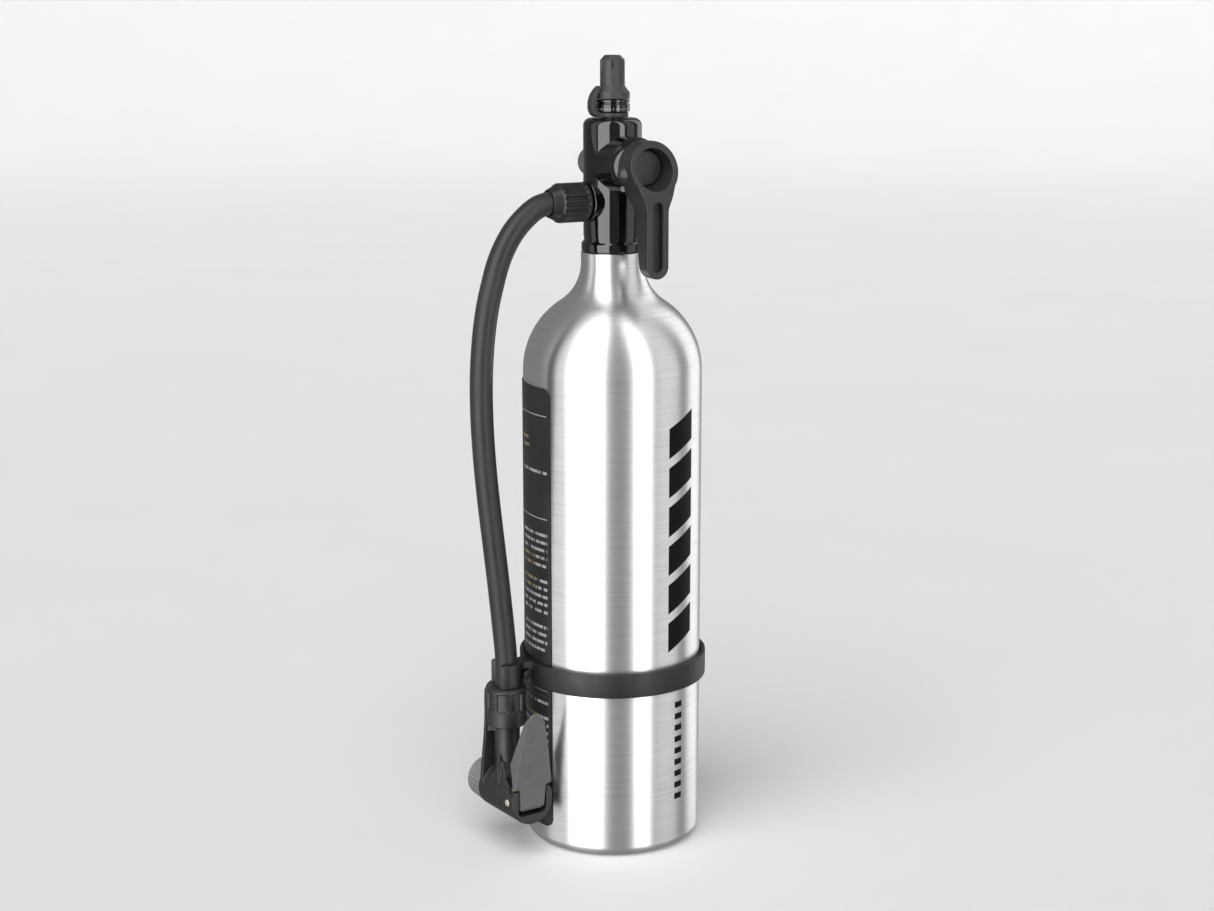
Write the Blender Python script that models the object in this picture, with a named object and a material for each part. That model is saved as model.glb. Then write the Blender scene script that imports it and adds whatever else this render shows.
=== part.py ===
"""A one litre compressed-air canister with a turning valve lever, a hose and a lever chuck.

Sizes are in millimetres and become metres when a mesh is made. +Z is up, the origin is the
middle of the bottle's base, the valve lever faces -Y and the hose leaves towards -X.
"""

import math

import bmesh
import bpy
from mathutils import Matrix, Vector
from mathutils.geometry import interpolate_bezier

MM = 0.001
GAP = 0.3
RUNNING = 0.1

# Bottle
BOTTLE_R = 39.0
WALL = 2.2
BASE_CORNER = 4.9
BASE_THICK = 4.5
SHOULDER_Z = 211.5
SHOULDER_ARC = 35.9
NECK_R = 13.6
NECK_FILLET = 20.0
NECK_TOP = 263.0
NECK_BORE = 9.0

# Label: a thin sheet round the back of the bottle, angles from -Y towards -X
LABEL_R = 39.25
LABEL_THICK = 0.2
LABEL_Z = (10.0, 207.5)
LABEL_ANGLES = (73.8, 243.8)

# Valve head
HEAD_R = 12.5
SKIRT_R = 13.35
HEAD_TOP = 319.8
HEAD_TOP_R = 9.65
LEVER_Z = 300.3
SPOOL_R = 5.0
BOSS_END = -22.3
PORT_Z = 284.8
PORT_END = -13.5
PORT_R = 8.8

# Valve lever
HUB_R = 11.45
HUB_BACK = -23.4
HANDLE_WIDTH = 10.4
HANDLE_FRONT = -37.0
HANDLE_END = 254.7
DISH_FLOOR = -25.9

# Fill valve
STEM_R = 4.2
FILL_COLLAR_R = 7.4
FILL_COLLAR = (322.5, 327.5)
STEM_TOP = 339.0
CAP_BOTTOM = 327.8
CAP_TOP = 346.0

# Hose
HOSE_R = 4.9
NUT_R = 8.4
NUT = (-13.9, -31.6)
HOSE_ROUTE = (
    (-28.0, 0.0, 284.8), (-32.0, 0.0, 284.8), (-37.0, 0.0, 283.4), (-42.2, 0.0, 279.9),
    (-47.2, 0.0, 275.2), (-51.6, 0.0, 269.2), (-55.4, 0.1, 261.6), (-58.2, 0.2, 252.9),
    (-60.9, 0.4, 242.0), (-62.7, 0.8, 229.0), (-63.7, 1.2, 213.0), (-63.4, 1.8, 196.0),
    (-62.1, 2.5, 178.0), (-60.1, 3.2, 160.0), (-57.8, 3.7, 142.0), (-55.4, 4.3, 124.0),
    (-53.5, 4.7, 108.0), (-52.2, 4.9, 96.0), (-51.5, 5.0, 88.0), (-51.36, 5.0, 80.0),
    (-51.36, 5.0, 72.0), (-51.36, 5.0, 66.3),
)

# Band: built with its clip on -X, then turned round the bottle to face the hose
BAND_Z = (74.45, 85.05)
BAND_INNER = 39.8
BAND_OUTER = 41.6
BAND_TURN = -5.56
CLIP_X = -51.6
CLIP_INNER = 5.2
CLIP_OUTER = 7.3
CLIP_OPENING = 46.0
SCREW_X = -43.75

# Chuck: built round a vertical axis at the origin, then turned and moved under the clip
CHUCK_PLACE = (-51.36, 5.0)
CHUCK_TURN = 4.0
TUBE_R = 5.7
TUBE_TOP = 62.0
COLLAR_R = 8.8
COLLAR_Z = (56.9, 74.1)
BARREL_Z = 26.4
BARREL_R = 10.3
BARREL_END = 8.2
STUB_R = 6.9
STUB_END = 17.6
PIN_Y = -15.5
PIN_R = 1.5
FORK_FRONT = -20.5
SLOT_HALF = 7.2
SLOT_FLOOR = 20.4
SLOT_BACK = -9.6
CAM_R = 3.8
CAM_OFFSET = 1.2
LEVER_TOP = 67.4
PLUNGER_R = 4.9
PLUNGER = (-12.25, 4.4)
SOCKET_R = 4.2
NOSE = (8.5, 19.8)

ROUND_LARGE = 40
ROUND_MIDDLE = 28
ROUND_SMALL = 16

X_AXIS = Vector((1, 0, 0))
Y_AXIS = Vector((0, 1, 0))
Z_AXIS = Vector((0, 0, 1))


def clear_scene():
    for obj in list(bpy.data.objects):
        bpy.data.objects.remove(obj)


def material(name, colour, roughness, metallic=0.0):
    made = bpy.data.materials.new(name)
    made.use_nodes = True
    shader = made.node_tree.nodes["Principled BSDF"]
    shader.inputs["Base Color"].default_value = (*colour, 1.0)
    shader.inputs["Roughness"].default_value = roughness
    shader.inputs["Metallic"].default_value = metallic
    return made


def arc(centre, radius, start, end, steps):
    """Points on a circle, angles in degrees, both ends included."""
    points = []
    for step in range(steps + 1):
        angle = math.radians(start + (end - start) * step / steps)
        points.append((centre[0] + radius * math.cos(angle), centre[1] + radius * math.sin(angle)))
    return points


def turned(profile, axis=Z_AXIS, base=(0, 0, 0), segments=ROUND_MIDDLE, ribs=None):
    """A body of revolution from (radius, distance along the axis) points.

    A profile whose ends lie on the axis is open, any other is a closed loop.
    ribs is (low, high, least, depths): between those distances along the axis, the wall outside the
    radius least goes in by each of the depths in turn.
    """
    bm = bmesh.new()
    verts = [bm.verts.new((radius, 0, height)) for radius, height in profile]
    edges = [bm.edges.new(pair) for pair in zip(verts, verts[1:])]
    if profile[0][0] > 0:
        edges.append(bm.edges.new((verts[-1], verts[0])))
    bmesh.ops.spin(bm, geom=verts + edges, cent=(0, 0, 0), axis=(0, 0, 1), angle=math.tau,
                   steps=segments, use_merge=True, use_duplicate=False)
    bmesh.ops.remove_doubles(bm, verts=bm.verts, dist=1e-4)
    poles = [vert for vert in bm.verts if math.hypot(vert.co.x, vert.co.y) < 1e-4]
    bmesh.ops.dissolve_verts(bm, verts=poles)
    bmesh.ops.recalc_face_normals(bm, faces=bm.faces)
    if ribs:
        low, high, least, depths = ribs
        for vert in bm.verts:
            reach = math.hypot(vert.co.x, vert.co.y)
            if low <= vert.co.z <= high and reach > least:
                column = round(math.atan2(vert.co.y, vert.co.x) / math.tau * segments)
                shrink = 1 - depths[column % len(depths)] / reach
                vert.co.x *= shrink
                vert.co.y *= shrink
    turn = Z_AXIS.rotation_difference(axis).to_matrix().to_4x4()
    bmesh.ops.transform(bm, matrix=Matrix.Translation(base) @ turn, verts=bm.verts)
    return bm


def rod(radius, start, end, segments=ROUND_SMALL):
    """A plain cylinder between two points."""
    start = Vector(start)
    length = (Vector(end) - start).length
    axis = (Vector(end) - start).normalized()
    return turned([(0, 0), (radius, 0), (radius, length), (0, length)], axis, start, segments)


def ring(inner, outer, low, high, axis=Z_AXIS, base=(0, 0, 0), segments=ROUND_MIDDLE, ribs=None):
    profile = [(inner, low), (outer, low), (outer, high), (inner, high)]
    return turned(profile, axis, base, segments, ribs)


def seal(inner, outer, middle, axis=Z_AXIS, base=(0, 0, 0)):
    """An O-ring with a six-sided section."""
    half = (outer - inner) / 2
    section = arc(((inner + outer) / 2, middle), half, 0, 300, 5)
    return turned(section, axis, base, ROUND_SMALL)


def prism(outline, plane, low, high):
    """An outline in the plane XY, XZ or YZ, extruded from low to high along the third axis."""
    place = {
        "XY": lambda a, b: (a, b, low),
        "XZ": lambda a, b: (a, low, b),
        "YZ": lambda a, b: (low, a, b),
    }[plane]
    along = {"XY": Z_AXIS, "XZ": Y_AXIS, "YZ": X_AXIS}[plane]
    bm = bmesh.new()
    face = bm.faces.new([bm.verts.new(place(a, b)) for a, b in outline])
    grown = bmesh.ops.extrude_face_region(bm, geom=[face])["geom"]
    moved = [item for item in grown if isinstance(item, bmesh.types.BMVert)]
    bmesh.ops.translate(bm, verts=moved, vec=along * (high - low))
    bmesh.ops.recalc_face_normals(bm, faces=bm.faces)
    return bm


def block(low, high):
    outline = [(low[0], low[1]), (high[0], low[1]), (high[0], high[1]), (low[0], high[1])]
    return prism(outline, "XY", low[2], high[2])


def hull(points):
    bm = bmesh.new()
    verts = [bm.verts.new(point) for point in points]
    made = bmesh.ops.convex_hull(bm, input=verts)
    unused = [item for item in made["geom_interior"] if isinstance(item, bmesh.types.BMVert)]
    bmesh.ops.delete(bm, geom=unused, context="VERTS")
    bmesh.ops.recalc_face_normals(bm, faces=bm.faces)
    return bm


def stack(levels):
    """Rectangles (half width, front, back, height) joined one above the other, as a closed body."""
    bm = bmesh.new()
    rows = []
    for half, front, back, height in levels:
        corners = ((-half, front), (half, front), (half, back), (-half, back))
        rows.append([bm.verts.new((x, y, height)) for x, y in corners])
    for lower, upper in zip(rows, rows[1:]):
        for i in range(4):
            j = (i + 1) % 4
            bm.faces.new((lower[i], lower[j], upper[j], upper[i]))
    bm.faces.new(rows[0])
    bm.faces.new(rows[-1])
    bmesh.ops.recalc_face_normals(bm, faces=bm.faces)
    return bm


def mesh_object(name, bm, origin=(0, 0, 0)):
    bmesh.ops.translate(bm, verts=bm.verts, vec=-Vector(origin))
    bmesh.ops.scale(bm, verts=bm.verts, vec=(MM, MM, MM))
    mesh = bpy.data.meshes.new(name)
    bm.to_mesh(mesh)
    bm.free()
    obj = bpy.data.objects.new(name, mesh)
    obj.location = Vector(origin) * MM
    bpy.context.scene.collection.objects.link(obj)
    return obj


def part(name, bm, finish, origin=(0, 0, 0)):
    obj = mesh_object(name, bm, origin)
    obj.data.materials.append(finish)
    obj.data.shade_smooth()
    obj.data.set_sharp_from_angle(angle=math.radians(35))
    return obj


def combine(obj, operation, *shapes):
    """Adds one Boolean for each shape, which stays as a hidden helper."""
    for shape in shapes:
        count = len(obj.modifiers)
        helper = mesh_object(f"{obj.name}_{operation.lower()}_{count}", shape)
        helper.hide_render = True
        helper.display_type = "WIRE"
        helper.hide_set(True)
        modifier = obj.modifiers.new(f"{operation.lower()}_{count}", "BOOLEAN")
        modifier.operation = operation
        modifier.solver = "EXACT"
        modifier.object = helper


def cut(obj, *shapes):
    combine(obj, "DIFFERENCE", *shapes)


def add(obj, *shapes):
    combine(obj, "UNION", *shapes)


def settle(makers, finish, offset, degrees):
    """Makes a group of pieces at the origin, then turns it about Z and moves it, cutters and all."""
    before = set(bpy.data.objects)
    for make in makers:
        make(finish)
    shift = Matrix.Translation(Vector((*offset, 0)) * MM)
    place = shift @ Matrix.Rotation(math.radians(degrees), 4, "Z")
    for obj in set(bpy.data.objects) - before:
        obj.matrix_basis = place @ obj.matrix_basis


def bottle_profile():
    """Outer wall from the base's middle up to the neck, then the inner wall back down."""
    bend = (BOTTLE_R - SHOULDER_ARC, SHOULDER_Z)
    reach = SHOULDER_ARC + NECK_FILLET
    across = NECK_R + NECK_FILLET - bend[0]
    fillet = (NECK_R + NECK_FILLET, SHOULDER_Z + math.sqrt(reach**2 - across**2))
    meet = math.degrees(math.atan2(fillet[1] - bend[1], across))
    groove = [(27.0, 0.0), (27.4, 0.6), (28.6, 0.6), (29.0, 0.0)]
    outer = [(0.0, 0.0), *groove]
    outer += arc((BOTTLE_R - BASE_CORNER, BASE_CORNER), BASE_CORNER, -90, 0, 3)
    outer += arc(bend, SHOULDER_ARC, 0, meet, 6)
    outer += arc(fillet, NECK_FILLET, meet + 180, 180, 3)[1:]
    outer += [(NECK_R, NECK_TOP), (NECK_BORE, NECK_TOP), (NECK_BORE, 249.0)]
    inner_arc = SHOULDER_ARC - WALL
    open_angle = math.degrees(math.acos((14.0 - bend[0]) / inner_arc))
    inner = arc(bend, inner_arc, open_angle, 0, 3)
    inner_r = BOTTLE_R - WALL
    inner += [(inner_r, BASE_THICK + 4), (inner_r - 4, BASE_THICK), (0.0, BASE_THICK)]
    return outer + inner


def polar(radius, angle):
    """A point from an angle in degrees, counted from -Y towards -X."""
    return (-radius * math.sin(math.radians(angle)), -radius * math.cos(math.radians(angle)))


def make_bottle(finish):
    part("bottle", turned(bottle_profile(), segments=ROUND_LARGE), finish["aluminium"])
    steps = 22
    start, end = LABEL_ANGLES
    angles = [start + (end - start) * step / steps for step in range(steps + 1)]
    outline = [polar(LABEL_R + LABEL_THICK, angle) for angle in angles]
    outline += [polar(LABEL_R, angle) for angle in reversed(angles)]
    part("label", prism(outline, "XY", *LABEL_Z), finish["label"])
    part("neck_oring", seal(9.7, 11.3, NECK_TOP + GAP + 0.8), finish["rubber"])


def make_valve_body(finish):
    profile = [
        (0.0, 250.0), (8.0, 250.0), (8.7, 250.7), (8.7, 265.4), (11.7, 265.4), (11.7, NECK_TOP + GAP),
        (SKIRT_R, NECK_TOP + GAP), (SKIRT_R, 266.8), (12.6, 267.6), (12.2, 268.6), (HEAD_R, 270.2),
        (HEAD_R, 316.6), (HEAD_TOP_R, HEAD_TOP), (0.0, HEAD_TOP),
    ]
    body = part("valve_body", turned(profile), finish["gloss_black"])
    boss = turned([(0, 1), (12.3, 1), (12.3, 19.2), (10.6, -BOSS_END), (0, -BOSS_END)],
                  -Y_AXIS, (0, 0, LEVER_Z))
    port = turned([(0, 4), (PORT_R, 4), (PORT_R, -PORT_END - 0.5), (PORT_R - 0.5, -PORT_END),
                   (0, -PORT_END)], -X_AXIS, (0, 0, PORT_Z))
    add(body, boss, port)
    spool_bore = rod(SPOOL_R + RUNNING, (0, 30, LEVER_Z), (0, -30, LEVER_Z), ROUND_MIDDLE)
    port_bore = rod(3.2, (-20, 0, PORT_Z), (-2.5, 0, PORT_Z), 18)
    outlet = rod(1.8, (-5.2, 0, PORT_Z + 0.4), (-5.2, 0, LEVER_Z), 12)
    inlet = rod(2.4, (4, 0, 245), (4, 0, LEVER_Z), 12)
    fill_bore = turned([(0, 0), (2.0, 0), (2.0, 10), (4.5, 10), (4.5, 25), (0, 25)],
                       Z_AXIS, (0, 0, 300.5), ROUND_SMALL)
    cut(body, spool_bore, port_bore, outlet, inlet, fill_bore)


def make_spool(finish):
    spool_origin = (0, 0, LEVER_Z)
    grooves = ((-18.0, -16.0), (8.0, 10.0))
    profile = [(0.0, -23.1), (SPOOL_R - 0.4, -23.1), (SPOOL_R, -22.7)]
    for low, high in grooves:
        profile += [(SPOOL_R, low), (3.9, low), (3.9, high), (SPOOL_R, high)]
    profile += [(SPOOL_R, 12.5), (0.0, 12.5)]
    spool = part("valve_spool", turned(profile, Y_AXIS, spool_origin), finish["brass"], spool_origin)
    cut(
        spool,
        rod(1.8, (0, -30, LEVER_Z), (0, -11, LEVER_Z), 16),
        rod(2.0, (0, 7, LEVER_Z), (0, 20, LEVER_Z), 16),
        rod(1.9, (0, 0, LEVER_Z - 8), (0, 0, LEVER_Z + 8), 12),
    )
    for name, (low, high) in zip(("spool_oring_front", "spool_oring_rear"), grooves):
        part(name, seal(4.15, 4.95, (low + high) / 2, Y_AXIS, spool_origin), finish["rubber"],
             spool_origin)
    end_profile = [(0.0, 7.8), (1.7, 7.8), (1.7, 12.8), (6.35, 12.8), (6.35, 18.7), (5.5, 19.5), (0.0, 19.5)]
    part("spool_end_cap", turned(end_profile, Y_AXIS, spool_origin, 24), finish["grey_metal"],
         spool_origin)


def lever_outline():
    """Front view of the valve lever: a round hub whose sides run down into a straight handle."""
    half = HANDLE_WIDTH / 2
    outline = arc((0, LEVER_Z), HUB_R, -38, 218, 24)
    outline += [(-half, 283.5)]
    outline += arc((0, HANDLE_END + half), half, 180, 360, 8)
    outline += [(half, 283.5)]
    return outline


def make_valve_lever(finish):
    origin = (0, 0, LEVER_Z)
    lever = part("valve_lever", prism(lever_outline(), "XZ", -40, -20), finish["charcoal"], origin)
    side = [
        (HUB_BACK, 315.0), (-30.4, 315.0), (HANDLE_FRONT, 289.0), (HANDLE_FRONT, 250.0),
        (-31.9, 250.0), (-25.6, 284.5), (HUB_BACK, 288.5),
    ]
    combine(lever, "INTERSECT", prism(side, "YZ", -20, 20))
    dish = turned([(0, -DISH_FLOOR), (7.5, -DISH_FLOOR), (9.6, 39.0), (0, 39.0)], -Y_AXIS, origin, 24)
    head_pocket = rod(3.7, (0, -30, LEVER_Z), (0, -24.5, LEVER_Z))
    screw_hole = rod(1.8, (0, -30, LEVER_Z), (0, -20, LEVER_Z), 16)
    slot = arc((0, 284.3), 2.4, 0, 180, 6) + arc((0, 259.9), 2.4, 180, 360, 6)
    cut(lever, dish, head_pocket, screw_hole, prism(slot, "XZ", -40, HANDLE_FRONT + 3.6))
    nub = turned([(0, 9.0), (3.5, 9.0), (3.5, 11.3), (1.8, 12.9), (1.2, 13.3), (0, 13.3)],
                 -X_AXIS, (0, -27.1, LEVER_Z - 2.2), 20)
    add(lever, nub)
    plug = rod(7.2, (0, -26.2, LEVER_Z), (0, -27.4, LEVER_Z), 24)
    part("lever_plug", plug, finish["charcoal"], origin)
    screw = turned([(0, 12.0), (1.5, 12.0), (1.5, 24.8), (3.3, 24.8), (3.3, 25.9), (0, 25.9)],
                   -Y_AXIS, origin, 16)
    part("lever_screw", screw, finish["steel"], origin)


def make_fill_valve(finish):
    low, high = FILL_COLLAR
    stem = [
        (1.2, 311.0), (STEM_R, 311.0), (STEM_R, low), (FILL_COLLAR_R, low), (FILL_COLLAR_R, high - 1.9),
        (FILL_COLLAR_R - 0.5, high - 1.7), (FILL_COLLAR_R - 0.5, high - 1.3), (FILL_COLLAR_R, high - 1.1),
        (FILL_COLLAR_R, high), (3.9, high), (3.9, STEM_TOP - 0.4), (3.5, STEM_TOP), (2.6, STEM_TOP),
        (2.6, 313.3), (1.2, 313.3),
    ]
    part("fill_stem", turned(stem), finish["gloss_black"])
    part("fill_core_body", ring(1.25, 2.3, 331.0, 338.6, segments=ROUND_SMALL), finish["brass"])
    part("fill_core_spring", ring(1.2, 2.2, 313.6, 320.8, segments=16), finish["steel"])
    pin = [(0, 321.1), (2.1, 321.1), (2.1, 322.2), (0.9, 322.2), (0.9, 338.9), (0, 338.9)]
    part("fill_core_pin", turned(pin, segments=16), finish["brass"], (0, 0, 321.1))

    cap = [
        (0, 341.2), (4.3, 341.2), (4.3, CAP_BOTTOM), (FILL_COLLAR_R, CAP_BOTTOM), (FILL_COLLAR_R, 330.4),
        (5.25, 333.2), (5.25, 343.9), (3.3, CAP_TOP), (0, CAP_TOP),
    ]
    part("fill_cap", turned(cap), finish["mid_grey"], (0, 0, CAP_BOTTOM))
    part("cap_gasket", rod(3.9, (0, 0, 339.5), (0, 0, 340.9)), finish["rubber"], (0, 0, CAP_BOTTOM))

    tether = part("cap_tether", ring(4.6, 6.8, 320.1, 322.2, segments=24), finish["mid_grey"])
    outside = [(-6.0, 320.2), (-8.6, 320.2), (-10.4, 321.4), (-11.3, 323.8), (-11.2, 327.0),
               (-10.2, 329.8), (-8.3, 332.2), (-6.3, 333.6)]
    inside = [(-6.6, 331.6), (-8.1, 329.6), (-9.0, 327.2), (-9.3, 325.4), (-9.1, 323.6),
              (-8.3, 322.5), (-6.0, 322.1)]
    add(tether, prism(outside + inside, "XZ", -2.0, 2.0))


def make_hose_fitting(finish):
    base = (0, 0, PORT_Z)
    barb = [
        (1.7, 6.0), (2.9, 6.0), (2.9, 15.7), (5.6, 15.7), (5.6, 18.0), (3.4, 18.0), (3.4, 20.0),
        (3.9, 20.4), (3.2, 22.6), (3.9, 23.0), (3.2, 25.2), (3.9, 25.6), (3.0, 27.7), (1.7, 27.7),
    ]
    part("hose_barb", turned(barb, -X_AXIS, base, ROUND_SMALL), finish["brass"])
    part("port_oring", seal(3.3, 4.7, 14.6, -X_AXIS, base), finish["rubber"])
    near, far = -NUT[0], -NUT[1]
    nut = [
        (6.1, near), (7.6, near), (NUT_R, near + 0.7), (NUT_R, 27.2), (7.6, 27.9), (5.9, far), (5.2, far),
        (5.2, 19.0), (6.1, 18.4),
    ]
    part("hose_nut", turned(nut, -X_AXIS, base, 40, (near + 0.6, 27.3, 8.0, (0, 0.6))),
         finish["charcoal"], base)


def hose_points(spacing):
    """Points on a smooth curve through the route, at most about spacing apart."""
    route = [Vector(place) for place in HOSE_ROUTE]
    ends = [route[0] * 2 - route[1], *route, route[-1] * 2 - route[-2]]
    points = []
    for before, start, end, after in zip(ends, ends[1:], ends[2:], ends[3:]):
        first = start + (end - before) / 6
        second = end - (after - start) / 6
        pieces = max(1, round((end - start).length / spacing))
        points += interpolate_bezier(start, first, second, end, pieces + 1)[:-1]
    points.append(route[-1])
    return points


def make_hose(finish):
    curve = bpy.data.curves.new("hose", "CURVE")
    curve.dimensions = "3D"
    curve.bevel_depth = HOSE_R * MM
    curve.bevel_resolution = 3
    curve.use_fill_caps = True
    points = hose_points(9.0)
    spline = curve.splines.new("POLY")
    spline.points.add(len(points) - 1)
    for point, place in zip(spline.points, points):
        point.co = (*(place * MM), 1)
    obj = bpy.data.objects.new("hose", curve)
    obj.data.materials.append(finish["rubber"])
    bpy.context.scene.collection.objects.link(obj)


def band_outline():
    """Top view: a split ring whose two ends pinch together and then open round the hose."""
    clip = (CLIP_X, 0)
    slot = 0.7
    ring_end = math.degrees(math.asin(slot / BAND_INNER))
    clip_start = math.degrees(math.asin(slot / CLIP_INNER))
    claw_end = 180 - CLIP_OPENING
    ear = [(-45.4, -4.3), (-41.2, -4.3)]
    claw = arc(clip, CLIP_INNER, -clip_start, -claw_end, 12)
    claw += arc(clip, CLIP_OUTER, -claw_end, -40, 9)
    outline = arc((0, 0), BAND_INNER, 180 - ring_end, ring_end - 180, ROUND_LARGE)
    outline += claw + ear
    outline += arc((0, 0), BAND_OUTER, -168, 168, ROUND_LARGE)
    outline += [(x, -y) for x, y in reversed(claw + ear)]
    return outline


def make_band(finish):
    low, high = BAND_Z
    middle = (low + high) / 2
    band = part("band_clip", prism(band_outline(), "XY", low, high), finish["band_black"])
    cut(band, rod(1.5, (SCREW_X, -9, middle), (SCREW_X, 9, middle), 16))
    screw = turned([(0, -6.4), (1.7, -6.4), (2.1, -6.0), (2.1, -4.6), (1.2, -4.6), (1.2, 6.9), (0, 6.9)],
                   Y_AXIS, (SCREW_X, 0, middle), 16)
    screw_obj = part("band_screw", screw, finish["steel"])
    for turn in (0, 90):
        bar = block((-1.6, -8, -0.35), (1.6, -5.6, 0.35))
        spin = Matrix.Translation((SCREW_X, 0, middle)) @ Matrix.Rotation(math.radians(turn + 45), 4, "Y")
        bmesh.ops.transform(bar, matrix=spin, verts=bar.verts)
        cut(screw_obj, bar)
    hexagon = arc((SCREW_X, middle), 2.4, 30, 330, 5)
    nut = part("band_nut", prism(hexagon, "XZ", 4.6, 6.6), finish["steel"])
    cut(nut, rod(1.5, (SCREW_X, 2, middle), (SCREW_X, 9, middle), 16))


def fork_outline():
    """Cross-section of the fork: a half round bottom under cheeks that lean in a little."""
    sides = [(9.9, 30.0), (8.8, 32.2)]
    outline = arc((0, BARREL_Z), BARREL_R, -180, 0, 16)
    outline += sides
    outline += [(-x, z) for x, z in reversed(sides)]
    return outline


def make_chuck_housing(finish):
    """Barrel and fork, with an upright tube in front of a rear shield that reaches past the collar."""
    base = (0, 0, BARREL_Z)
    housing = part("chuck_housing", rod(TUBE_R, base, (0, 0, TUBE_TOP)), finish["charcoal"])
    barrel_r = BARREL_R - 0.05
    barrel = turned([(0, -14), (barrel_r, -14), (barrel_r, BARREL_END), (STUB_R, BARREL_END),
                     (STUB_R, STUB_END), (0, STUB_END)], Y_AXIS, base, 32)
    fork = prism(fork_outline(), "XZ", FORK_FRONT, -4.0)
    cheek = []
    for side in (-1, 1):
        wide = side * (BARREL_R - 0.25)
        cheek += [(wide, FORK_FRONT + 0.4, 27.0), (wide, FORK_FRONT + 0.4, 24.0)]
        cheek += [(wide, 2.5, 28.6), (wide, 2.5, 24.0)]
        cheek += [(side * 5.3, -3.8, 41.0), (side * 5.3, -0.6, 40.2)]
    pilaster = []
    for side in (-1, 1):
        pilaster += [(side * 5.2, -2.4, 44.0), (side * 5.2, -0.2, 44.0)]
        pilaster += [(side * 10.2, -2.4, 31.0), (side * 10.2, -0.2, 31.0)]
        pilaster += [(side * 10.2, -2.4, 25.5), (side * 10.2, -0.2, 25.5)]
    shield = stack([
        (10.0, 4.8, 7.3, 25.0), (10.0, 4.9, 7.2, 30.0), (9.6, 5.3, 7.4, 34.0), (9.0, 5.7, 7.6, 38.5),
        (8.1, 6.3, 8.2, 43.5), (6.6, 7.5, 9.4, 50.0), (5.3, 9.0, 10.7, 57.0), (5.0, 9.1, 10.9, 70.0),
        (3.6, 9.1, 10.9, 72.6), (2.0, 9.1, 10.9, 73.8),
    ])
    shelf_outline = [(-4.8, -0.5), (4.8, -0.5), *arc((0, 0), 8.7, 15, 165, 14)]
    shelf = prism(shelf_outline, "XY", 54.0, COLLAR_Z[0] - GAP)
    spine = prism([(3.0, 32.0), (7.0, 32.0), (7.0, 43.0), (9.8, 55.0), (3.0, 55.0)], "YZ", -1.2, 1.2)
    add(housing, barrel, fork, hull(cheek), hull(pilaster), shield, shelf, spine)
    cut(
        housing,
        block((-SLOT_HALF, -30, SLOT_FLOOR), (SLOT_HALF, SLOT_BACK, 60)),
        prism([(-17.6, 29.3), (-17.6, 50.0), (-6.0, 50.0), (-6.0, 39.3)], "YZ", -15, 15),
        rod(3.1, base, (0, 0, 70), ROUND_SMALL),
        turned([(0, -20), (PLUNGER_R + RUNNING, -20), (PLUNGER_R + RUNNING, 6.8), (5.6, 6.8), (5.6, 25),
                (0, 25)], Y_AXIS, base),
        rod(PIN_R + RUNNING, (-15, PIN_Y, BARREL_Z), (15, PIN_Y, BARREL_Z)),
    )


def make_chuck_lever(finish):
    """Thumb lever: a wide pointed plate on a narrow tongue, with an eccentric cam round its pin."""
    pivot = (0, PIN_Y, BARREL_Z)
    half = [
        (1.0, LEVER_TOP), (4.6, 63.8), (5.75, 58.0), (7.2, 50.4), (8.4, 42.1), (9.5, 34.8), (9.4, 33.7),
        (6.7, 33.1), (6.2, 26.4), (6.2, 23.8), (4.2, 21.8),
    ]
    outline = half + [(-x, z) for x, z in reversed(half)]
    lever = part("chuck_lever", prism(outline, "XZ", -30, -10), finish["mid_grey"], pivot)
    side = arc((-17.8, 24.4), 2.6, 270, 180, 5)
    side += [(-21.0, 33.5), (-23.5, 63.8), (-23.7, LEVER_TOP + 0.2), (-22.4, LEVER_TOP + 0.2),
             (-21.6, 63.8), (-15.4, 43.6), (-19.6, 33.4), (-17.4, 31.6), (-15.2, 29.0), (-16.0, 21.8)]
    combine(lever, "INTERSECT", prism(side, "YZ", -15, 15))
    away = CAM_OFFSET * math.sqrt(0.5)
    cam_y, cam_z = PIN_Y - away, BARREL_Z - away
    tongue = 6.2
    add(lever, rod(CAM_R, (-tongue, cam_y, cam_z), (tongue, cam_y, cam_z), 28))
    cut(lever, rod(PIN_R + 0.15, (-15, PIN_Y, BARREL_Z), (15, PIN_Y, BARREL_Z)))
    part("chuck_lever_pin", rod(PIN_R, (-10.25, PIN_Y, BARREL_Z), (10.25, PIN_Y, BARREL_Z)),
         finish["brass"])


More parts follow.
